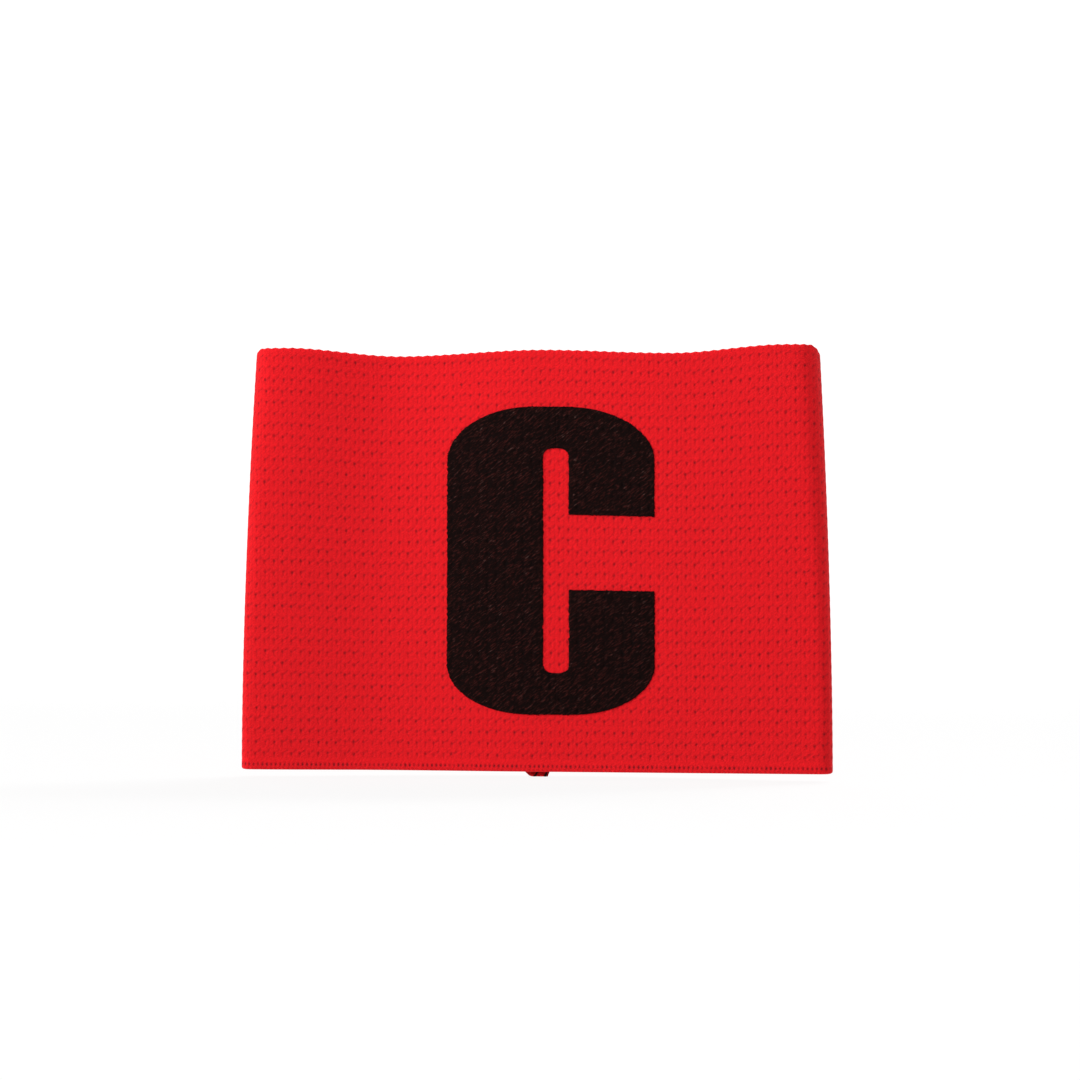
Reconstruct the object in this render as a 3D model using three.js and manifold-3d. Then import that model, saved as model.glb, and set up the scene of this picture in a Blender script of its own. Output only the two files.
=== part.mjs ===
// A captain armband: a wide tube of thick elastic knit that stands on its lower rim, pressed
// flat from front to back and a little open at the top, with its join seam inside at the back
// and a printed letter on the front.
// Millimetres, +Z up, the printed front faces -Y, the origin is under the middle of the part.

import * as THREE from "three";
import Module from "manifold-3d";
import { mergeVertices } from "three/addons/utils/BufferGeometryUtils.js";

// Band
const bandHeight = 100;
const footWidth = 140;
const wall = 1.3;
const footFoldRadius = 4;
const topFoldRadius = 8.1;
const footBackBow = 9;
const topBackBow = 12;
const footWaveDepth = 1.6;
const topWaveDepth = 3.6;
const edgeDip = 2;

// How fast the tube opens on its way up, how full its bowed back is, how sharply a fold turns out
// of the front wall (2 is round), and how late the top edge drops there
const openingPower = 1.7;
const bowPower = 1.5;
const foldSharpness = 3;
const foldDropPower = 8;

// Join seam: both edges of the knit, sewn together and laid to one side
const seamWidth = 6;
const seamThickness = 2.4;
const seamEdgeThickness = 1.5;
const seamOffset = -0.2;
const seamTopInset = 0.6;
const pieceGap = 0.3;

// Printed letter, a plain C of straights and round corners
const letterWidth = 49.2;
const letterHeight = 72.8;
const letterOffset = 4.15;
const letterFoot = 13.1;
const letterCornerWidth = 19.5;
const letterCornerHeight = 12;
const slotWidth = 6;
const slotHeight = 53.2;
const slotOffset = 1.4;
const mouthHeight = 17.8;
const mouthRise = 2;
const printThickness = 0.4;

// Facets
const levels = 14;
const frontFacets = 30;
const foldFacets = 7;
const backFacets = 24;
const seamFacets = 4;
const cornerFacets = 8;
const girthSteps = 4;
const mergeDistance = 1e-4;

// The waves of the front wall and its top edge, seen from the front. place is a share of half the
// width between the folds, setBack of the wave depth, lowered of the edge dip.
const frontWaves = [
  { place: -1.0, setBack: 0.0, lowered: 0.0 },
  { place: -0.54, setBack: 1.0, lowered: 1.0 },
  { place: 0.02, setBack: 0.25, lowered: 0.42 },
  { place: 0.56, setBack: 0.1, lowered: 0.9 },
  { place: 1.0, setBack: 0.0, lowered: 0.0 },
];
// The top edge past the front wall, as shares of the edge dip
const foldLowered = 0.9;
const backLowered = 0.75;

const knitRed = new THREE.MeshStandardMaterial({ color: 0xdc1e25, roughness: 0.85, metalness: 0 });
const seamRed = new THREE.MeshStandardMaterial({ color: 0x8f141a, roughness: 0.9, metalness: 0 });
const printBlack = new THREE.MeshStandardMaterial({ color: 0x1d100f, roughness: 0.8, metalness: 0 });

const mix = (a, b, share) => a + (b - a) * share;
const ease = (share) => share * share * (3 - 2 * share);

// One column of frontWaves at a place across the front wall, eased from row to row.
function waveAt(place, column) {
  const last = frontWaves.length - 2;
  const found = frontWaves.findIndex((row, i) => i <= last && place <= frontWaves[i + 1].place);
  const index = found < 0 ? last : found;
  const [from, to] = [frontWaves[index], frontWaves[index + 1]];
  const share = THREE.MathUtils.clamp((place - from.place) / (to.place - from.place), 0, 1);
  return mix(from[column], to[column], ease(share));
}

// The sizes of the tube at a level, from 0 at the foot to 1 at the top.
function tubeAt(level, width) {
  const opening = level ** openingPower;
  const radius = mix(footFoldRadius, topFoldRadius, opening);
  return {
    radius,
    half: width / 2 - radius,
    bow: mix(footBackBow, topBackBow, opening),
    wave: mix(footWaveDepth, topWaveDepth, level),
  };
}

const frontY = (tube, place) => tube.wave * waveAt(place, "setBack");
const backY = (tube, place) => 2 * tube.radius + tube.bow * (1 - place * place) ** bowPower;

// The outer face at one level, anticlockwise from above: front, right fold, back, left fold.
// Each point has its place in the plan and how far the top edge is lowered there.
function outline(tube) {
  const points = [];
  for (let i = 0; i < frontFacets; i++) {
    const place = mix(-1, 1, i / frontFacets);
    const lowered = waveAt(place, "lowered");
    points.push({ x: place * tube.half, y: frontY(tube, place), lowered });
  }
  for (let i = 0; i < foldFacets; i++) points.push(foldPoint(tube, i / foldFacets, 1));
  for (let i = 0; i < backFacets; i++) {
    const place = mix(1, -1, i / backFacets);
    points.push({ x: place * tube.half, y: backY(tube, place), lowered: backLowered });
  }
  for (let i = 0; i < foldFacets; i++) points.push(foldPoint(tube, 1 - i / foldFacets, -1));
  return points;
}

// A point of a fold, from 0 at the front wall to 1 at the back wall. Its front half is sharper.
function foldPoint(tube, turn, side) {
  const [reach, facing] = [Math.sin(turn * Math.PI), Math.cos(turn * Math.PI)];
  const isFront = turn < 0.5;
  const power = isFront ? 2 / foldSharpness : 1;
  const across = reach ** power;
  const depth = 1 - Math.sign(facing) * Math.abs(facing) ** power;
  const lowered = isFront ? foldLowered * reach ** foldDropPower : mix(backLowered, foldLowered, reach);
  return { x: side * (tube.half + tube.radius * across), y: tube.radius * depth, lowered };
}

function girth(points) {
  return points.reduce((sum, point, i) => {
    const next = points[(i + 1) % points.length];
    return sum + Math.hypot(next.x - point.x, next.y - point.y);
  }, 0);
}

// The knit keeps its girth all the way up, so the width gives way where the tube opens.
const footGirth = girth(outline(tubeAt(0, footWidth)));
function fittedTube(level) {
  let width = footWidth;
  for (let i = 0; i < girthSteps; i++) {
    width += (footGirth - girth(outline(tubeAt(level, width)))) / 2;
  }
  return tubeAt(level, width);
}
const tubes = Array.from({ length: levels + 1 }, (_, level) => fittedTube(level / levels));

// A closed plan moved along its own outward normals.
function offsetPlan(points, distance) {
  return points.map((point, i) => {
    const before = points[(i + points.length - 1) % points.length];
    const after = points[(i + 1) % points.length];
    const along = new THREE.Vector2(after.x - before.x, after.y - before.y).normalize();
    return { ...point, x: point.x + along.y * distance, y: point.y - along.x * distance };
  });
}

const heightAt = (level, lowered) => level * (bandHeight - lowered * edgeDip);

// A closed body from rings of points, each ring joined to the next and the last to the first.
function ringBody(rings) {
  const around = rings[0].length;
  const positions = rings.flat().flatMap((point) => [point.x, point.y, point.z]);
  const faces = [];
  rings.forEach((_, ring) => {
    const next = (ring + 1) % rings.length;
    for (let i = 0; i < around; i++) {
      const [a, b] = [ring * around + i, ring * around + ((i + 1) % around)];
      const [c, d] = [next * around + ((i + 1) % around), next * around + i];
      faces.push(a, b, c, a, c, d);
    }
  });
  return bodyOf(positions, faces);
}

// A closed slab from rings stacked upwards. Each ring is its near row and then its far row turned
// back, so that both ends are closed between the two rows.
function slabBody(rings) {
  const around = rings[0].length;
  const positions = rings.flat().flatMap((point) => [point.x, point.y, point.z]);
  const faces = [];
  for (let ring = 0; ring + 1 < rings.length; ring++) {
    for (let i = 0; i < around; i++) {
      const [a, b] = [ring * around + i, ring * around + ((i + 1) % around)];
      faces.push(a, b, b + around, a, b + around, a + around);
    }
  }
  const last = (rings.length - 1) * around;
  for (let i = 0; i + 1 < around / 2; i++) {
    const [a, b, c, d] = [i, i + 1, around - 2 - i, around - 1 - i];
    faces.push(a, c, b, a, d, c);
    faces.push(last + a, last + b, last + c, last + a, last + c, last + d);
  }
  return bodyOf(positions, faces);
}

function bodyOf(positions, faces) {
  const geometry = new THREE.BufferGeometry();
  geometry.setAttribute("position", new THREE.Float32BufferAttribute(positions, 3));
  geometry.setIndex(faces);
  return geometry;
}

// The wall of the tube: up the outside, over the rim and down the inside.
function bandGeometry() {
  const ringAt = (depth) => (tube, level) =>
    offsetPlan(outline(tube), -depth).map((point) => ({
      ...point,
      z: heightAt(level / levels, point.lowered),
    }));
  const outside = tubes.map(ringAt(0));
  const inside = tubes.map(ringAt(wall)).reverse();
  return ringBody([...outside, ...inside]);
}

// The seam lies on the inside of the back wall, thick where it is sewn and thin at its cut edge.
function seamGeometry() {
  const rings = tubes.map((tube, level) => {
    const top = heightAt(1, backLowered) - seamTopInset;
    const z = (level / levels) * top;
    const stations = Array.from({ length: seamFacets + 1 }, (_, i) => {
      const share = i / seamFacets;
      const x = seamOffset + mix(-0.5, 0.5, share) * seamWidth;
      const against = backY(tube, x / tube.half) - wall - pieceGap;
      const thickness = mix(seamEdgeThickness, seamThickness, ease(share));
      return { x, against, thickness };
    });
    const near = stations.map(({ x, against, thickness }) => ({ x, y: against - thickness, z }));
    const far = stations.map(({ x, against }) => ({ x, y: against, z })).reverse();
    return [...near, ...far];
  });
  return slabBody(rings);
}

// The outline of the letter: a block with round corners, a slot and a mouth to the right.
function letterShape() {
  const [left, right] = [letterOffset - letterWidth / 2, letterOffset + letterWidth / 2];
  const [foot, top] = [letterFoot, letterFoot + letterHeight];
  const middle = (foot + top) / 2;
  const slotRadius = slotWidth / 2;
  const slotCentre = letterOffset + slotOffset;
  const slotRight = slotCentre + slotRadius;
  const [slotFoot, slotTop] = [middle - slotHeight / 2, middle + slotHeight / 2];
  const mouthFoot = middle + mouthRise - mouthHeight / 2;
  const mouthTop = middle + mouthRise + mouthHeight / 2;
  const quarter = Math.PI / 2;
  const corner = (shape, x, z, start) =>
    shape.absellipse(x, z, letterCornerWidth, letterCornerHeight, start, start + quarter, false, 0);
  const shape = new THREE.Shape();
  shape.moveTo(right, mouthTop);
  shape.lineTo(right, top - letterCornerHeight);
  corner(shape, right - letterCornerWidth, top - letterCornerHeight, 0);
  corner(shape, left + letterCornerWidth, top - letterCornerHeight, quarter);
  corner(shape, left + letterCornerWidth, foot + letterCornerHeight, 2 * quarter);
  corner(shape, right - letterCornerWidth, foot + letterCornerHeight, 3 * quarter);
  shape.lineTo(right, mouthFoot);
  shape.lineTo(slotRight, mouthFoot);
  shape.lineTo(slotRight, slotFoot + slotRadius);
  shape.absarc(slotCentre, slotFoot + slotRadius, slotRadius, 0, -2 * quarter, true);
  shape.absarc(slotCentre, slotTop - slotRadius, slotRadius, 2 * quarter, 0, true);
  shape.lineTo(slotRight, mouthTop);
  return shape;
}

// The skin that the letter is cut from: the front wall's own facets, moved out by the gap.
function skinGeometry() {
  const ringAt = (distance) => (tube, level) =>
    offsetPlan(outline(tube), distance)
      .slice(1, frontFacets)
      .map((point) => ({ ...point, z: heightAt(level / levels, point.lowered) }));
  const near = tubes.map(ringAt(pieceGap + printThickness));
  const far = tubes.map(ringAt(pieceGap));
  return slabBody(near.map((ring, level) => [...ring, ...far[level].reverse()]));
}

function letterGeometry(wasm) {
  const deep = 4 * (topWaveDepth + pieceGap + printThickness);
  const prism = new THREE.ExtrudeGeometry(letterShape(), {
    depth: deep,
    bevelEnabled: false,
    curveSegments: cornerFacets,
  });
  prism.rotateX(Math.PI / 2);
  prism.translate(0, deep / 2, 0);
  return geometryOf(solidOf(wasm, skinGeometry()).intersect(solidOf(wasm, prism)));
}

function solidOf(wasm, geometry) {
  geometry.deleteAttribute("normal");
  geometry.deleteAttribute("uv");
  const merged = mergeVertices(geometry, mergeDistance);
  return new wasm.Manifold(
    new wasm.Mesh({
      numProp: 3,
      vertProperties: merged.attributes.position.array,
      triVerts: new Uint32Array(merged.index.array),
    }),
  );
}

function geometryOf(solid) {
  const mesh = solid.getMesh();
  return bodyOf(Array.from(mesh.vertProperties), Array.from(mesh.triVerts));
}

function piece(name, geometry, material) {
  const flat = geometry.toNonIndexed();
  flat.computeVertexNormals();
  const mesh = new THREE.Mesh(flat, material);
  mesh.name = name;
  return mesh;
}

const wasm = await Module();
wasm.setup();

const armband = new THREE.Group();
armband.add(
  piece("band", bandGeometry(), knitRed),
  piece("join_seam", seamGeometry(), seamRed),
  piece("captain_letter", letterGeometry(wasm), printBlack),
);

const box = new THREE.Box3().setFromObject(armband);
const centre = box.getCenter(new THREE.Vector3());
armband.position.set(-centre.x, -centre.y, -box.min.z);

export default armband;
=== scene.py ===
# The captain armband: a knitted tube that stands on its lower rim, with its join seam inside at
# the back and a letter printed on its front, which faces -Y. Its shapes are worked out in
# millimetres, with y measured from the plane of the front, and make_object turns them into metres.

import math

import bpy
import numpy as np
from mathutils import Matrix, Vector


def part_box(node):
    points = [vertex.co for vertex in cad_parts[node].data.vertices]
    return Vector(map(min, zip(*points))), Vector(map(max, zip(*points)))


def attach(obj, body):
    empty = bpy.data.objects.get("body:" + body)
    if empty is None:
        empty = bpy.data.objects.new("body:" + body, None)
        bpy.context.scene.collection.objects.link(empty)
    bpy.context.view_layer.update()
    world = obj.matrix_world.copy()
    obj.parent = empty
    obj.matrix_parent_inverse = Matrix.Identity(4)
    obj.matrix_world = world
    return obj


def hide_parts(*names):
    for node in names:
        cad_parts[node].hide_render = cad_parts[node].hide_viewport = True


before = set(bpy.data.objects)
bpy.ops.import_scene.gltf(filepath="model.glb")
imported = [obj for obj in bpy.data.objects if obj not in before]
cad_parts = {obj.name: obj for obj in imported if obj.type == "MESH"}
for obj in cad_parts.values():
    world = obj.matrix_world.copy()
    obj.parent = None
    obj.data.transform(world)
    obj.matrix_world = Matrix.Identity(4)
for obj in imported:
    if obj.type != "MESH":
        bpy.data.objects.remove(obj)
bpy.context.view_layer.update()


METRES = 0.001

# Band: the same sizes as its solid
BAND_HEIGHT = 100
FOOT_WIDTH = 140
WALL = 1.3
FOOT_FOLD_RADIUS = 4
TOP_FOLD_RADIUS = 8.1
FOOT_BACK_BOW = 9
TOP_BACK_BOW = 12
FOOT_WAVE_DEPTH = 1.6
TOP_WAVE_DEPTH = 3.6
EDGE_DIP = 2
OPENING_POWER = 1.7
BOW_POWER = 1.5
FOLD_SHARPNESS = 3
FOLD_DROP_POWER = 8

# Waves of the front wall: places from the left fold at -1 to the right one at 1, with shares of
# the wave depth and of the edge dip
FRONT_WAVES = [
    {"place": -1.0, "set_back": 0.0, "lowered": 0.0},
    {"place": -0.54, "set_back": 1.0, "lowered": 1.0},
    {"place": 0.02, "set_back": 0.25, "lowered": 0.42},
    {"place": 0.56, "set_back": 0.1, "lowered": 0.9},
    {"place": 1.0, "set_back": 0.0, "lowered": 0.0},
]
FOLD_LOWERED = 0.9
BACK_LOWERED = 0.75

# Steps along a quarter of the outline, tries at its girth, and points of an even outline
OUTLINE_STEPS = 120
GIRTH_TRIES = 4
OUTLINE_POINTS = 1200

# Knit: its counts, the mesh steps in each stitch and row, and the rings of its rims and inside
STITCHES = 137
KNIT_ROWS = 37
FINE = 4
RIM_RISE = 0.5
RIM_STEPS = 5
INNER_ROWS = 14
KNIT_SEED = 11

# Relief of the knit, with places and sizes in shares of a stitch and a row, and depths in
# millimetres. The dot sits in the middle of a stitch, this share of a row above the row's middle.
DOT_RISE = -0.2
ROW_BULGE = 0.07
DOT_DIMPLE = {"right": 0, "above": 0, "width": 0.17, "height": 0.2, "depth": 0.2}
SIDE_DIMPLE = {"right": 0.5, "above": 0.25, "width": 0.15, "height": 0.18, "depth": 0.1}
DIMPLE_RANGE = (0.7, 1.3)

# How much of the relief comes back in each row away from a rim, and is lost at the side folds
RIM_FADE = 1.5
FOLD_SMOOTHNESS = 0.6

# Scallops of the upper edge, one in each stitch, and how quickly they fade below it
SCALLOP = 0.22
SCALLOP_POWER = 60

# Line where the knit is joined, on the outside of the back: depth, and half width in stitches
JOIN_DEPTH = 0.45
JOIN_WIDTH = 0.35

# Dark marks of the knit: places from the dot and sizes in shares of a stitch and a row, apart
# from the dash, whose length and width are millimetres. The share that is varied goes by chance.
# The dot and the join line are painted shade, in the knit's dimples and in the groove of the join.
DOT_SHADE = {"width": 0.14, "height": 0.14, "varied": 0.6, "dark": 0.9}
DOT_SHIFT = 0.18
DOT_LIFT = 0.14
TRAIL_MARK = {"above": -0.3, "width": 0.08, "height": 0.2, "dark": 0.3}
DASH_MARK = {"right": 0.38, "above": 0.17, "length": 0.63, "width": 0.245, "varied": 0.7, "dark": 0.55}
DASH_TURN = math.radians(39)
COLUMN_MARK = {"right": 0.5, "width": 0.1, "dark": 0.14}
HEM_TOP = (1.0, 0.8)
HEM_LOOPS_IN_STITCH = 2
HEM_LOOP = {"row": 0.3, "width": 0.24, "height": 0.14, "varied": 0.7, "least": 0.6}
HEM_BRAID = {"slant": 4, "start": 0.2, "width": 0.2, "height": 0.08, "dark": 0.25}
JOIN_SHADE = {"width": 0.16, "dark": 0.6}

# Fibres and blotches: a scale is the cycles in a millimetre across the fibres, and a stretch its
# share along them. The seam's specks have theirs in a metre.
FIBRE_TURN = math.radians(37)
FIBRES = {"stretch": 0.4, "layer": 0.0, "scale": 2.8, "detail": 3, "roughness": 0.7}
HAIRS = {"stretch": 0.15, "layer": 7.0, "scale": 5.2, "detail": 2, "roughness": 0.6}
MOTTLE = {"layer": 4.0, "scale": 0.9, "detail": 3, "roughness": 0.6}
SEAM_SPECKS = {"scale": 1400, "detail": 3, "roughness": 0.6}

# Levels of these between which one colour goes over to the next, and how far it goes at most
FIBRE_LEVELS = (0.33, 0.67)
BLOTCH_LEVELS = (0.3, 0.75)
BLOTCH_SHARE = 0.35
HAIR_LEVELS = (0.5, 0.72)
PALE_HAIR_LEVELS = (0.58, 0.74)
PALE_PATCH_LEVELS = (0.5, 0.7)
PALE_SHARE = 0.6
SPECK_LEVELS = (0.4, 0.62)

# Bumps of the fibres and of the print's dots, as shares of a full one
FIBRE_BUMP = 0.4
PRINT_DOT_BUMP = 0.6

KNIT_SHADOW = (0.69, 0.0075, 0.012, 1)
KNIT_RED = (0.86, 0.009, 0.0145, 1)
KNIT_BLOTCH = (0.72, 0.008, 0.013, 1)
# dark colour of the knit's marks, and painted shade in its dimples and join groove
KNIT_MARK_AND_SHADE = (0.24, 0.006, 0.01, 1)
PRINT_BLACK = (0.005, 0.0017, 0.0015, 1)
PRINT_HAIR = (0.05, 0.009, 0.0075, 1)
PRINT_PALE = (0.11, 0.08, 0.07, 1)
# painted shade in the knit's dimples under the print
PRINT_DOT_SHADE = (0.003, 0.0015, 0.0015, 1)
SEAM_SHADOW = (0.36, 0.007, 0.01, 1)
SEAM_RED = (0.74, 0.012, 0.016, 1)
THREAD_BLACK = (0.02, 0.004, 0.005, 1)
FLOOR_GREY = (0.1, 0.1, 0.1, 1)
WHITE = (1, 1, 1, 1)

# Join seam
SEAM_WIDTH = 6
SEAM_THICKNESS = 2.4
SEAM_EDGE_THICKNESS = 1.5
SEAM_OFFSET = -0.2
SEAM_TOP_INSET = 0.6
SEAM_TOP = BAND_HEIGHT - BACK_LOWERED * EDGE_DIP - SEAM_TOP_INSET
PIECE_GAP = 0.3
SEAM_LEVELS = 180
SEAM_COLUMNS = 13
SEAM_EDGE_POWER = 6
SEAM_RIPPLE = 0.12
SEAM_STITCH = 1.5

# Tail of the seam: how far it drops, comes forward and leans to the left, the share of its width
# over which its left side slopes down, and how blunt its end is
TAIL_DROP = 2.0
TAIL_CURL = 2.6
TAIL_LEAN = 2.2
TAIL_RIGHT_LEAN = 0.6
TAIL_SLOPE = 0.5
TAIL_BLUNTNESS = 0.05
TAIL_END_POWER = 4
TAIL_STEPS = 8
THREAD_COLUMNS = [7, 11]
THREAD_RADIUS = 0.3
THREAD_SIDES = 8

# Printed letter
LETTER_WIDTH = 49.2
LETTER_HEIGHT = 72.8
LETTER_OFFSET = 4.15
LETTER_FOOT = 13.1
LETTER_CORNER_WIDTH = 19.5
LETTER_CORNER_HEIGHT = 12
SLOT_WIDTH = 6
SLOT_HEIGHT = 53.2
SLOT_OFFSET = 1.4
SLOT_END_HEIGHT = 2
SLOT_END_POWER = 2.4
SLOT_END_ROWS = 14
MOUTH_HEIGHT = 17.8
MOUTH_RISE = 2
STEM_ROWS = 240
STEM_COLUMNS = 76
ARM_ROWS = 110
ARM_COLUMNS = 66
PRINT_RAISE = 0.14
PRINT_GAP = 0.04
PRINT_SEED = 5
EDGE_ROUGHNESS = 0.08
STRIP_OVERLAP = 0.1

# Backdrop, in metres: a floor that curves up behind, and its glow, which rises between two depths
STAGE_HALF_WIDTH = 3
STAGE_FRONT = -2.5
STAGE_BACK = 1.6
STAGE_CURVE = 0.8
STAGE_TURNS = (0.1, 1.5)
STAGE_CURVE_STEPS = 12
STAGE_TOP = 3.5
GLOW = 0.93
GLOW_RISE = 0.12
GLOW_DEPTHS = (0.15, 0.9)

# Lights: a sun's angles are degrees, with azimuth 0 in front and 90 on the +X side, and it falls
# on the band or the floor alone. The key is a disk, in metres, aimed at this height of the front.
SUNS = [
    {"name": "side", "azimuth": -70, "elevation": 24, "strength": 2.5, "softness": 20, "on": "band"},
    {"name": "back", "azimuth": 105, "elevation": 42, "strength": 1, "softness": 50, "on": "band"},
    {"name": "floor", "azimuth": 152, "elevation": 30, "strength": 9, "softness": 60, "on": "floor"},
]
KEY_STRENGTH = 0.42
KEY_SIZE = 0.2
KEY_PLACE = (-0.06, -0.18, 0.24)
KEY_TARGET_HEIGHT = 0.06
WORLD_STRENGTH = 0.19

# Camera: its height over the foot, its distance, and how far it stands aside from the middle
EYE_HEIGHT = 54.4
EYE_DISTANCE = 700
EYE_AZIMUTH = math.radians(6.5)
EYE_ASIDE = 1.75
LENS = 99.55
SENSOR_WIDTH = 36
CLIP_END = 20

front_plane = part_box("band")[0].y / METRES


def mix(a, b, share):
    return a + (b - a) * share


def ease(share):
    return share * share * (3 - 2 * share)


def wave_at(place, column):
    """One column of FRONT_WAVES at places across the front wall, eased from row to row."""
    places = np.array([row["place"] for row in FRONT_WAVES])
    values = np.array([row[column] for row in FRONT_WAVES])
    index = np.clip(np.searchsorted(places, place) - 1, 0, len(places) - 2)
    share = np.clip((place - places[index]) / (places[index + 1] - places[index]), 0, 1)
    return mix(values[index], values[index + 1], ease(share))


def outline(level, width):
    """The outer face at one level, anticlockwise from the middle of the back: x, y, lowered."""
    opening = level**OPENING_POWER
    radius = mix(FOOT_FOLD_RADIUS, TOP_FOLD_RADIUS, opening)
    half = width / 2 - radius
    bow = mix(FOOT_BACK_BOW, TOP_BACK_BOW, opening)
    depth = mix(FOOT_WAVE_DEPTH, TOP_WAVE_DEPTH, level)

    def back(start, end):
        places = np.linspace(start, end, OUTLINE_STEPS, endpoint=False)
        y = 2 * radius + bow * (1 - places**2) ** BOW_POWER
        return places * half, y, np.full_like(places, BACK_LOWERED)

    def fold(turns, side):
        reach, facing = np.sin(turns * math.pi), np.cos(turns * math.pi)
        is_front = turns < 0.5
        power = np.where(is_front, 2 / FOLD_SHARPNESS, 1)
        x = side * (half + radius * reach**power)
        y = radius * (1 - np.sign(facing) * np.abs(facing) ** power)
        near = FOLD_LOWERED * reach**FOLD_DROP_POWER
        far = mix(BACK_LOWERED, FOLD_LOWERED, reach)
        return x, y, np.where(is_front, near, far)

    turns = np.linspace(0, 1, OUTLINE_STEPS, endpoint=False)
    across = np.linspace(-1, 1, 2 * OUTLINE_STEPS, endpoint=False)
    parts = [
        back(0, -1),
        fold(1 - turns, -1),
        (across * half, depth * wave_at(across, "set_back"), wave_at(across, "lowered")),
        fold(turns, 1),
        back(1, 0),
    ]
    return [np.concatenate([part[i] for part in parts]) for i in range(3)]


def lengths_along(x, y):
    """The length up to each point of a closed outline, and its whole length at the end."""
    steps = np.hypot(np.roll(x, -1) - x, np.roll(y, -1) - y)
    return np.concatenate([[0], np.cumsum(steps)])


foot_x, foot_y, _ = outline(0, FOOT_WIDTH)
GIRTH = lengths_along(foot_x, foot_y)[-1]
STITCH_WIDTH = GIRTH / STITCHES
ROW_HEIGHT = BAND_HEIGHT / KNIT_ROWS


def fitted_outline(level, columns):
    """The outline that keeps the girth of the foot, at evenly spaced columns."""
    width = FOOT_WIDTH
    for _ in range(GIRTH_TRIES):
        x, y, _ = outline(level, width)
        width += (GIRTH - lengths_along(x, y)[-1]) / 2
    x, y, lowered = outline(level, width)
    along = lengths_along(x, y)
    places = np.linspace(0, along[-1], columns, endpoint=False)
    return [np.interp(places, along, np.append(v, v[0])) for v in (x, y, lowered)]


def link(obj):
    bpy.context.scene.collection.objects.link(obj)
    return obj


def smooth_mesh(name, vertices, faces, material):
    mesh = bpy.data.meshes.new(name)
    mesh.from_pydata(vertices, [], faces)
    mesh.polygons.foreach_set("use_smooth", [True] * len(mesh.polygons))
    mesh.materials.append(material)
    return mesh


def make_object(name, vertices, faces, material, uvs=None):
    """A piece from its points and faces, with the stitch and row of each corner where it is knit."""
    points = np.array(vertices, float)
    points[:, 1] += front_plane
    mesh = smooth_mesh(name, (points * METRES).tolist(), faces, material)
    if uvs is not None:
        layer = mesh.uv_layers.new(name="knit")
        corners = np.array([uv for face in uvs for uv in face], np.float32)
        layer.data.foreach_set("uv", corners.ravel())
    mesh.update()
    return link(bpy.data.objects.new(name, mesh))


class Value:
    """A number in a shader. Arithmetic with it adds nodes to its graph."""

    def __init__(self, graph, socket):
        self.graph = graph
        self.socket = socket

    def __add__(self, other):
        return self.graph.math("ADD", self, other)

    def __sub__(self, other):
        return self.graph.math("SUBTRACT", self, other)

    def __rsub__(self, other):
        return self.graph.math("SUBTRACT", other, self)

    def __mul__(self, other):
        return self.graph.math("MULTIPLY", self, other)

    def __truediv__(self, other):
        return self.graph.math("DIVIDE", self, other)


class Graph:
    """The shader nodes of one material."""

    def __init__(self, name):
        self.material = bpy.data.materials.new(name)
        self.material.use_nodes = True
        self.nodes = self.material.node_tree.nodes
        self.links = self.material.node_tree.links
        self.nodes.clear()

    def node(self, kind, inputs=None, **settings):
        node = self.nodes.new(kind)
        for key, value in settings.items():
            setattr(node, key, value)
        for key, value in (inputs or {}).items():
            self.put(node.inputs[key], value)
        return node

    def put(self, socket, value):
        if isinstance(value, Value):
            self.links.new(value.socket, socket)
        else:
            socket.default_value = value

    def output(self, node, key):
        return Value(self, node.outputs[key])

    def split(self, node):
        return [self.output(node, key) for key in range(3)]

    def math(self, operation, *values):
        node = self.node("ShaderNodeMath", operation=operation)
        for socket, value in zip(node.inputs, values):
            self.put(socket, value)
        return self.output(node, 0)

    def near(self, value, width):
        """1 where value is 0, falling off smoothly over width on both sides."""
        share = value / width
        return self.math("EXPONENT", share * share * -1.0)

    def centred(self, value):
        """Runs from -0.5 to 0.5 in each whole number of value."""
        return self.math("FRACT", value) - 0.5

    def step(self, value, start, end):
        """0 before start and 1 past end, eased between them."""
        inputs = {"Value": value, "From Min": start, "From Max": end}
        node = self.node("ShaderNodeMapRange", inputs, interpolation_type="SMOOTHSTEP")
        return self.output(node, "Result")

    def blend(self, share, a, b):
        node = self.node("ShaderNodeMix", {0: share, 6: a, 7: b}, data_type="RGBA")
        return self.output(node, 2)

    def vector(self, x, y, z=0.0):
        return self.output(self.node("ShaderNodeCombineXYZ", {"X": x, "Y": y, "Z": z}), 0)

    def noise(self, vector, form):
        inputs = {"Vector": vector, "Scale": form["scale"]}
        inputs |= {"Detail": form["detail"], "Roughness": form["roughness"]}
        return self.output(self.node("ShaderNodeTexNoise", inputs), 0)

    def turn(self, x, y, angle):
        """The lengths along and beside a direction."""
        cos, sin = math.cos(angle), math.sin(angle)
        return x * cos + y * sin, y * cos - x * sin

    def place(self):
        return self.output(self.node("ShaderNodeTexCoord"), "Object")

    def finish(self, colour, roughness, height=None, distance=0.0, **extra):
        inputs = {"Base Color": colour, "Roughness": roughness, **extra}
        shader = self.node("ShaderNodeBsdfPrincipled", inputs)
        if height is not None:
            bump = self.node("ShaderNodeBump", {"Height": height, "Distance": distance})
            self.links.new(bump.outputs[0], shader.inputs["Normal"])
        output = self.node("ShaderNodeOutputMaterial")
        self.links.new(shader.outputs[0], output.inputs[0])
        return self.material


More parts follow.
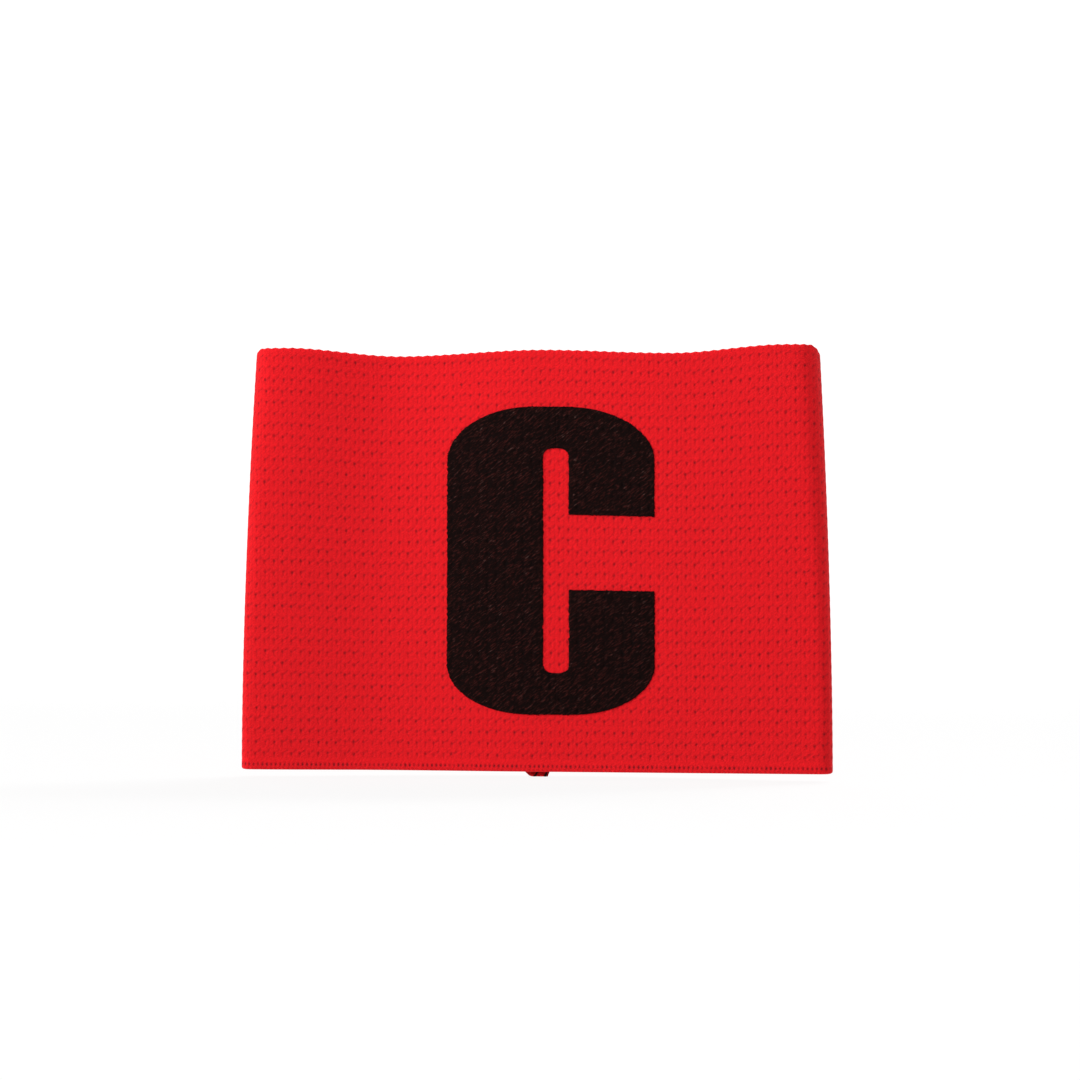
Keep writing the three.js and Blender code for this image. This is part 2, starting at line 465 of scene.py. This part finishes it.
def knit_marks(graph):
    """The dark marks of the knit, with painted shade in its dimples and its join groove, its fibres
    and its blotches, by stitch and row.
    """
    uv = graph.output(graph.node("ShaderNodeUVMap", uv_map="knit"), 0)
    stitch, row, _ = graph.split(graph.node("ShaderNodeSeparateXYZ", {"Vector": uv}))
    cell = graph.vector(graph.math("FLOOR", stitch), graph.math("FLOOR", row))
    chance = graph.node("ShaderNodeTexWhiteNoise", {"Vector": cell}, noise_dimensions="3D")
    chances = graph.node("ShaderNodeSeparateColor", {"Color": graph.output(chance, "Color")})
    depth, shift, lift = graph.split(chances)

    from_dot = graph.centred(row - DOT_RISE)
    across = graph.centred(stitch) + (shift - 0.5) * DOT_SHIFT
    up = from_dot + (lift - 0.5) * DOT_LIFT
    # painted shade: the dot darkens the colour in the knit's dimple
    dot = graph.near(across, DOT_SHADE["width"]) * graph.near(up, DOT_SHADE["height"])
    dot *= depth * DOT_SHADE["varied"] + (1 - DOT_SHADE["varied"])
    trail = graph.near(across, TRAIL_MARK["width"])
    trail *= graph.near(up - TRAIL_MARK["above"], TRAIL_MARK["height"])

    right = graph.centred(stitch + (1 - DASH_MARK["right"])) * STITCH_WIDTH
    above = (from_dot - DASH_MARK["above"]) * ROW_HEIGHT
    along, beside = graph.turn(right, above, DASH_TURN)
    dash = graph.near(along, DASH_MARK["length"]) * graph.near(beside, DASH_MARK["width"])
    dash *= shift * DASH_MARK["varied"] + (1 - DASH_MARK["varied"])
    column = graph.near(graph.centred(stitch + COLUMN_MARK["right"]), COLUMN_MARK["width"])

    hem = graph.step(row, *HEM_TOP)
    loop = stitch * HEM_LOOPS_IN_STITCH
    loops = graph.near(graph.centred(loop), HEM_LOOP["width"])
    loops *= graph.near(row - HEM_LOOP["row"], HEM_LOOP["height"])
    loops *= lift * HEM_LOOP["varied"] + HEM_LOOP["least"]
    braid = graph.centred(loop + row * HEM_BRAID["slant"] + HEM_BRAID["start"])
    braid = graph.near(braid, HEM_BRAID["width"]) * graph.near(row, HEM_BRAID["height"])
    # painted shade in the groove where the knit is joined
    join = graph.near(stitch, JOIN_SHADE["width"]) + graph.near(stitch - STITCHES, JOIN_SHADE["width"])

    wide, tall = stitch * STITCH_WIDTH, row * ROW_HEIGHT
    along, beside = graph.turn(wide, tall, FIBRE_TURN)
    fibres = graph.vector(along * FIBRES["stretch"], beside, FIBRES["layer"])
    hairs = graph.vector(along * HAIRS["stretch"], beside, HAIRS["layer"])
    body = 1.0 - hem
    return {
        "dot": dot * body,
        "trail": trail * body,
        "dash": dash * body,
        "column": column * body,
        "hem": loops + braid * HEM_BRAID["dark"],
        "join": join,
        "fibres": graph.noise(fibres, FIBRES),
        "hairs": graph.noise(hairs, HAIRS),
        "mottle": graph.noise(graph.vector(wide, tall, MOTTLE["layer"]), MOTTLE),
    }


def knit_material():
    graph = Graph("knit_red")
    marks = knit_marks(graph)
    fibres = graph.step(marks["fibres"], *FIBRE_LEVELS)
    mottle = graph.step(marks["mottle"], *BLOTCH_LEVELS)
    colour = graph.blend(fibres, KNIT_SHADOW, KNIT_RED)
    colour = graph.blend(mottle * BLOTCH_SHARE, colour, KNIT_BLOTCH)
    # painted shade of the dots and the join groove, summed with the knit's other dark marks
    marks_and_shade = marks["dot"] * DOT_SHADE["dark"] + marks["trail"] * TRAIL_MARK["dark"]
    marks_and_shade += marks["dash"] * DASH_MARK["dark"] + marks["column"] * COLUMN_MARK["dark"]
    marks_and_shade += marks["hem"] + marks["join"] * JOIN_SHADE["dark"]
    marks_and_shade = graph.math("MINIMUM", marks_and_shade, 1.0)
    colour = graph.blend(marks_and_shade, colour, KNIT_MARK_AND_SHADE)
    return graph.finish(
        colour,
        roughness=0.9,
        height=fibres * FIBRE_BUMP - marks_and_shade,
        distance=0.00018,
        **{"Specular IOR Level": 0.1, "Sheen Weight": 0.02, "Sheen Roughness": 0.5},
    )


def print_material():
    graph = Graph("print_black")
    marks = knit_marks(graph)
    hairs = graph.step(marks["hairs"], *HAIR_LEVELS)
    pale = graph.step(marks["mottle"], *PALE_PATCH_LEVELS)
    pale *= graph.step(marks["hairs"], *PALE_HAIR_LEVELS)
    colour = graph.blend(hairs, PRINT_BLACK, PRINT_HAIR)
    colour = graph.blend(pale * PALE_SHARE, colour, PRINT_PALE)
    # painted shade in the knit's dimples under the print
    colour = graph.blend(marks["dot"], colour, PRINT_DOT_SHADE)
    height = hairs * FIBRE_BUMP - marks["dot"] * PRINT_DOT_BUMP
    extra = {"Specular IOR Level": 0.04}
    return graph.finish(colour, roughness=0.8, height=height, distance=0.00012, **extra)


def seam_material():
    graph = Graph("seam_red")
    specks = graph.noise(graph.place(), SEAM_SPECKS)
    colour = graph.blend(graph.step(specks, *SPECK_LEVELS), SEAM_SHADOW, SEAM_RED)
    extra = {"Specular IOR Level": 0.12}
    return graph.finish(colour, roughness=0.9, height=specks, distance=0.0002, **extra)


def thread_material():
    graph = Graph("seam_thread")
    return graph.finish(THREAD_BLACK, roughness=0.85, **{"Specular IOR Level": 0.15})


def floor_material():
    """A pale floor with a glow of its own that grows towards the back, so it ends in white."""
    graph = Graph("backdrop_white")
    place = graph.node("ShaderNodeSeparateXYZ", {"Vector": graph.place()})
    depth = graph.output(place, 1)
    glow = graph.step(depth, *GLOW_DEPTHS) * GLOW_RISE + GLOW
    extra = {"Specular IOR Level": 0.0, "Emission Color": WHITE, "Emission Strength": glow}
    return graph.finish(FLOOR_GREY, roughness=1.0, **extra)


def dimple(stitch, row, form):
    across = (stitch - form["right"]) % 1 - 0.5
    up = (row - DOT_RISE) % 1 - 0.5 - form["above"]
    return form["depth"] * np.exp(-((across / form["width"]) ** 2) - (up / form["height"]) ** 2)


def relief(stitch, row, depths):
    """How far the knit stands out at a stitch and row, with a depth of its own for each dot."""
    up = (row - DOT_RISE) % 1 - 0.5
    bulge = ROW_BULGE * np.cos(2 * math.pi * up)
    return bulge - depths * dimple(stitch, row, DOT_DIMPLE) - dimple(stitch, row, SIDE_DIMPLE)


def band_rings():
    """The rings of the wall and the row of the knit that each one lies on.

    They run from the foot up the outside, over the rim, down the inside and round the foot."""
    columns = STITCHES * FINE
    stitch = np.arange(columns) / FINE
    chance = np.random.default_rng(KNIT_SEED)
    depths = mix(*DIMPLE_RANGE, chance.random((KNIT_ROWS + 1, STITCHES)))
    from_join = np.minimum(stitch, STITCHES - stitch)
    join = JOIN_DEPTH * np.exp(-((from_join / JOIN_WIDTH) ** 2))

    def ring(row, depth=0, rise=0, standing=0):
        level = row / KNIT_ROWS
        x, y, lowered = fitted_outline(level, columns)
        along_x = np.roll(x, -1) - np.roll(x, 1)
        along_y = np.roll(y, -1) - np.roll(y, 1)
        length = np.hypot(along_x, along_y)
        out_x, out_y = along_y / length, -along_x / length
        scallop = SCALLOP * np.cos(math.pi * stitch) ** 2 * level**SCALLOP_POWER
        z = RIM_RISE + level * (BAND_HEIGHT - lowered * EDGE_DIP - 2 * RIM_RISE) - scallop
        out = standing * (1 - FOLD_SMOOTHNESS * out_x**2) - depth
        return np.stack([x + out_x * out, y + out_y * out, z + rise], 1), row

    def outer(row):
        row_depths = depths[min(int(row), KNIT_ROWS)][stitch.astype(int)]
        fade = min(1.0, (KNIT_ROWS - row) * RIM_FADE, row * RIM_FADE)
        return ring(row, standing=relief(stitch, row, row_depths) * fade - join)

    def rim(row, share, side):
        angle = share * math.pi
        depth = WALL * (1 - math.cos(angle)) / 2
        return ring(row, depth=depth, rise=side * RIM_RISE * math.sin(angle))

    shares = np.linspace(0, 1, RIM_STEPS + 2)[1:-1]
    rings = [outer(i / FINE) for i in range(KNIT_ROWS * FINE + 1)]
    rings += [rim(KNIT_ROWS, share, 1) for share in shares]
    rings += [ring(row, depth=WALL) for row in np.linspace(KNIT_ROWS, 0, INNER_ROWS)]
    rings += [rim(0, share, -1) for share in shares[::-1]]
    return rings


def build_band(material):
    """The knitted tube, and the points of its outer face by ring and column."""
    rings = band_rings()
    columns = STITCHES * FINE
    faces = []
    uvs = []
    for i, (_, row) in enumerate(rings):
        following = (i + 1) % len(rings)
        next_row = rings[following][1]
        low, high = i * columns, following * columns
        for j in range(columns):
            k = (j + 1) % columns
            faces.append((low + j, low + k, high + k, high + j))
            left, right = j / FINE, (j + 1) / FINE
            uvs.append(((left, row), (right, row), (right, next_row), (left, next_row)))
    points = [points for points, _ in rings]
    band = make_object("band_knit", np.concatenate(points), faces, material, uvs)
    return band, np.stack(points[: KNIT_ROWS * FINE + 1])


def surface_at(face, stitch, row):
    """Points of the outer face at stitches and rows, and the way out of it in the plan."""
    column = stitch * FINE
    level = row * FINE
    j = np.floor(column).astype(int)
    i = np.clip(np.floor(level).astype(int), 0, face.shape[0] - 2)
    s, t = (column - j)[:, None], (level - i)[:, None]
    near, far = j % face.shape[1], (j + 1) % face.shape[1]
    a, b = face[i, near], face[i, far]
    d, c = face[i + 1, near], face[i + 1, far]
    points = mix(mix(a, b, s), mix(d, c, s), t)
    along = mix(b - a, c - d, t)
    length = np.hypot(along[:, 0], along[:, 1])
    outward = np.stack([along[:, 1] / length, -along[:, 0] / length, 0 * length], 1)
    return points, outward


def letter_strips():
    """The letter on the flat knit: a stem and two arms, each between a left and a right edge.

    A free edge is one of the letter's own, and not one where two strips meet."""
    left, right = LETTER_OFFSET - LETTER_WIDTH / 2, LETTER_OFFSET + LETTER_WIDTH / 2
    foot, top = LETTER_FOOT, LETTER_FOOT + LETTER_HEIGHT
    middle = (foot + top) / 2
    slot = LETTER_OFFSET + SLOT_OFFSET
    slot_foot = middle - SLOT_HEIGHT / 2 + SLOT_END_HEIGHT
    slot_top = middle + SLOT_HEIGHT / 2 - SLOT_END_HEIGHT
    mouth_foot = middle + MOUTH_RISE - MOUTH_HEIGHT / 2
    mouth_top = middle + MOUTH_RISE + MOUTH_HEIGHT / 2

    def corner(z):
        past = np.maximum(z - (top - LETTER_CORNER_HEIGHT), foot + LETTER_CORNER_HEIGHT - z)
        share = np.clip(past / LETTER_CORNER_HEIGHT, 0, 1)
        return LETTER_CORNER_WIDTH * (1 - np.sqrt(1 - share**2))

    def slot_half(z):
        share = np.clip(np.maximum(z - slot_top, slot_foot - z) / SLOT_END_HEIGHT, 0, 1)
        return SLOT_WIDTH / 2 * (1 - share**SLOT_END_POWER) ** (1 / SLOT_END_POWER)

    def heights(start, end, count):
        share = (1 - np.cos(np.linspace(0, math.pi, count))) / 2
        ends = SLOT_END_HEIGHT * np.sin(np.linspace(0, math.pi / 2, SLOT_END_ROWS))
        rows = np.concatenate([mix(start, end, share), slot_top + ends, slot_foot - ends])
        return np.unique(rows[(rows >= start) & (rows <= end)])

    def stem():
        z = heights(foot, top, STEM_ROWS)
        half = slot_half(z)
        is_open = half > 0
        edges = left + corner(z), slot - half + np.where(is_open, 0, STRIP_OVERLAP)
        return {"z": z, "edges": edges, "columns": STEM_COLUMNS, "free": (True, is_open)}

    def arm(start, end):
        z = heights(start, end, ARM_ROWS)
        half = slot_half(z)
        edges = slot + half, right - corner(z)
        return {"z": z, "edges": edges, "columns": ARM_COLUMNS, "free": (half > 0, True)}

    return [stem(), arm(mouth_top, top), arm(foot, mouth_foot)]


def plate_faces(rows, across):
    """A closed plate from two grids of points, the near one first, with its edges between them."""
    count = rows * across
    faces = []
    for i in range(rows - 1):
        for j in range(across - 1):
            a = i * across + j
            near = (a, a + 1, a + across + 1, a + across)
            faces += [near, tuple(count + corner for corner in near[::-1])]
    edge = [*range(across)]
    edge += [i * across + across - 1 for i in range(1, rows)]
    edge += [(rows - 1) * across + j for j in range(across - 2, -1, -1)]
    edge += [i * across for i in range(rows - 2, 0, -1)]
    faces += [(b, a, count + a, count + b) for a, b in zip(edge, edge[1:] + edge[:1])]
    return faces


def build_letter(material, face):
    """The print, as closed plates that follow the knit a hair clear of it."""
    chance = np.random.default_rng(PRINT_SEED)
    knit_height = BAND_HEIGHT - EDGE_DIP / 2
    vertices, faces, uvs = [], [], []
    for strip in letter_strips():
        rows, across = len(strip["z"]), strip["columns"]
        left, right = strip["edges"]
        x = mix(left[:, None], right[:, None], np.linspace(0, 1, across)[None, :])
        z = np.repeat(strip["z"][:, None], across, 1)
        rough = chance.normal(0, EDGE_ROUGHNESS, (4, max(rows, across)))
        x[:, 0] += rough[0, :rows] * strip["free"][0]
        x[:, -1] += rough[1, :rows] * strip["free"][1]
        z[0] += rough[2, :across]
        z[-1] += rough[3, :across]
        stitch = STITCHES / 2 + x.ravel() / GIRTH * STITCHES
        row = z.ravel() / knit_height * KNIT_ROWS
        points, outward = surface_at(face, stitch, row)
        start = sum(len(part) for part in vertices)
        vertices += [points + outward * PRINT_RAISE, points + outward * PRINT_GAP]
        marks = np.tile(np.stack([stitch, row], 1), (2, 1))
        for corners in plate_faces(rows, across):
            faces.append(tuple(start + corner for corner in corners))
            uvs.append(tuple(marks[corner] for corner in corners))
    return make_object("letter_print", np.concatenate(vertices), faces, material, uvs)


def tube_faces(rings, sides):
    """The faces between closed rings of points, with a cap at each end."""
    faces = []
    for i in range(rings - 1):
        for j in range(sides):
            k = (j + 1) % sides
            low, high = i * sides, (i + 1) * sides
            faces.append((low + j, low + k, high + k, high + j))
    last = (rings - 1) * sides
    faces.append(tuple(range(sides))[::-1])
    faces.append(tuple(range(last, last + sides)))
    return faces


def seam_ring(level, drop):
    """Points round the seam at a level of the band, or at a share of its tail's drop below it."""
    shares = np.linspace(0, 1, SEAM_COLUMNS)
    outline_x, outline_y, _ = fitted_outline(level, OUTLINE_POINTS)
    behind = outline_y > outline_y.max() / 2
    order = np.argsort(outline_x[behind])
    x = SEAM_OFFSET + (shares - 0.5) * SEAM_WIDTH
    against = np.interp(x, outline_x[behind][order], outline_y[behind][order]) - WALL - PIECE_GAP
    ripple = SEAM_RIPPLE * abs(math.sin(math.pi * (level + drop) * SEAM_TOP / SEAM_STITCH))
    thick = mix(SEAM_EDGE_THICKNESS, SEAM_THICKNESS, ease(shares)) - ripple
    thick *= math.sqrt(1 + TAIL_BLUNTNESS - drop**TAIL_END_POWER)
    rounding = np.sqrt(1 - (2 * shares - 1) ** SEAM_EDGE_POWER)
    x -= mix(TAIL_LEAN, TAIL_RIGHT_LEAN, shares) * drop
    low = TAIL_DROP * ease(np.clip(shares / TAIL_SLOPE, 0, 1))
    z = level * SEAM_TOP - low * drop
    middle = against - thick / 2 - TAIL_CURL * (np.minimum(z, 0) / TAIL_DROP) ** 2
    near = np.stack([x, middle - thick / 2 * rounding, z], 1)
    far = np.stack([x, middle + thick / 2 * rounding, z], 1)
    return np.concatenate([near, far[::-1]])


def build_seam(material, thread):
    """The sewn edges of the knit against the back wall, with a short tail under the rim."""
    tail = [seam_ring(0, drop) for drop in np.linspace(1, 0, TAIL_STEPS, endpoint=False)]
    rings = tail + [seam_ring(level, 0) for level in np.linspace(0, 1, SEAM_LEVELS)]
    faces = tube_faces(len(rings), 2 * SEAM_COLUMNS)
    seam = make_object("seam_fold", np.concatenate(rings), faces, material)
    tail = np.array(rings[: TAIL_STEPS + 2])
    vertices, faces = [], []
    for i, column in enumerate(THREAD_COLUMNS):
        path = tail[:, column]
        start = i * len(path) * THREAD_SIDES
        vertices.append(thread_end(path))
        for face in tube_faces(len(path), THREAD_SIDES):
            faces.append(tuple(start + corner for corner in face))
    return seam, make_object("seam_thread_ends", np.concatenate(vertices), faces, thread)


def thread_end(path):
    """Rings of points round a path up the near face of the tail."""
    turns = np.linspace(0, 2 * math.pi, THREAD_SIDES, endpoint=False)
    round_x, round_y = np.cos(turns) * THREAD_RADIUS, np.sin(turns) * THREAD_RADIUS
    rings = [np.stack([x + round_x, y + round_y, np.full_like(turns, z)], 1) for x, y, z in path]
    return np.concatenate(rings)


def build_backdrop():
    """The floor, which curves up behind the band and lies under the seam's tail."""
    turns = np.linspace(*STAGE_TURNS, STAGE_CURVE_STEPS)
    profile = [(STAGE_FRONT, 0), (STAGE_BACK, 0)]
    profile += [
        (STAGE_BACK + STAGE_CURVE * math.sin(turn), STAGE_CURVE * (1 - math.cos(turn)))
        for turn in turns
    ]
    profile.append((STAGE_BACK + STAGE_CURVE, STAGE_TOP))
    floor = -TAIL_DROP * METRES
    vertices = [(side * STAGE_HALF_WIDTH, y, z + floor) for y, z in profile for side in (-1, 1)]
    faces = [(2 * i, 2 * i + 1, 2 * i + 3, 2 * i + 2) for i in range(len(profile) - 1)]
    mesh = smooth_mesh("backdrop", vertices, faces, floor_material())
    backdrop = link(bpy.data.objects.new("backdrop", mesh))
    return backdrop


def light_only(light, pieces):
    """Lets a light fall on those pieces alone."""
    group = bpy.data.collections.new(light.name + "_receivers")
    for piece in pieces:
        group.objects.link(piece)
    light.light_linking.receiver_collection = group


def add_sun(form):
    light = bpy.data.lights.new(form["name"], "SUN")
    light.energy = form["strength"]
    light.angle = math.radians(form["softness"])
    obj = bpy.data.objects.new(form["name"], light)
    azimuth, elevation = math.radians(form["azimuth"]), math.radians(form["elevation"])
    flat = Vector((math.sin(azimuth), -math.cos(azimuth), 0)) * math.cos(elevation)
    towards = flat + Vector((0, 0, math.sin(elevation)))
    obj.rotation_euler = towards.to_track_quat("Z", "Y").to_euler()
    return link(obj)


def add_key():
    """A soft light at the upper left in front, near enough to fade across the band."""
    light = bpy.data.lights.new("key", "AREA")
    light.energy = KEY_STRENGTH
    light.shape = "DISK"
    light.size = KEY_SIZE
    obj = bpy.data.objects.new("key", light)
    target = Vector((0, front_plane * METRES, KEY_TARGET_HEIGHT))
    obj.location = target + Vector(KEY_PLACE)
    obj.rotation_euler = Vector(KEY_PLACE).to_track_quat("Z", "Y").to_euler()
    return link(obj)


def add_world():
    world = bpy.data.worlds.new("surroundings")
    world.use_nodes = True
    background = world.node_tree.nodes["Background"]
    background.inputs["Color"].default_value = WHITE
    background.inputs["Strength"].default_value = WORLD_STRENGTH
    bpy.context.scene.world = world


def add_camera():
    """Level with the middle of the band, a little to its right."""
    right = Vector((math.cos(EYE_AZIMUTH), math.sin(EYE_AZIMUTH), 0))
    back = Vector((math.sin(EYE_AZIMUTH), -math.cos(EYE_AZIMUTH), 0))
    place = back * EYE_DISTANCE + right * EYE_ASIDE + Vector((0, front_plane, EYE_HEIGHT))
    camera = bpy.data.cameras.new("camera")
    camera.sensor_width = SENSOR_WIDTH
    camera.lens = LENS
    camera.clip_end = CLIP_END
    obj = link(bpy.data.objects.new("camera", camera))
    obj.location = place * METRES
    obj.rotation_euler = (math.radians(90), 0, EYE_AZIMUTH)
    bpy.context.scene.camera = obj


band, outer_face = build_band(knit_material())
letter = build_letter(print_material(), outer_face)
seam, thread_ends = build_seam(seam_material(), thread_material())
for piece, node, slot in (
    (band, "band", "knit"),
    (letter, "captain_letter", "print"),
    (seam, "join_seam", "seam"),
):
    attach(piece, "root")
    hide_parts(node)
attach(thread_ends, "root")

lit = {"band": [band, letter, seam, thread_ends], "floor": [build_backdrop()]}
light_only(add_key(), lit["band"])
for form in SUNS:
    light_only(add_sun(form), lit[form["on"]])
add_world()
add_camera()
bpy.context.scene.view_settings.view_transform = "Standard"
bpy.context.scene.view_settings.look = "None"
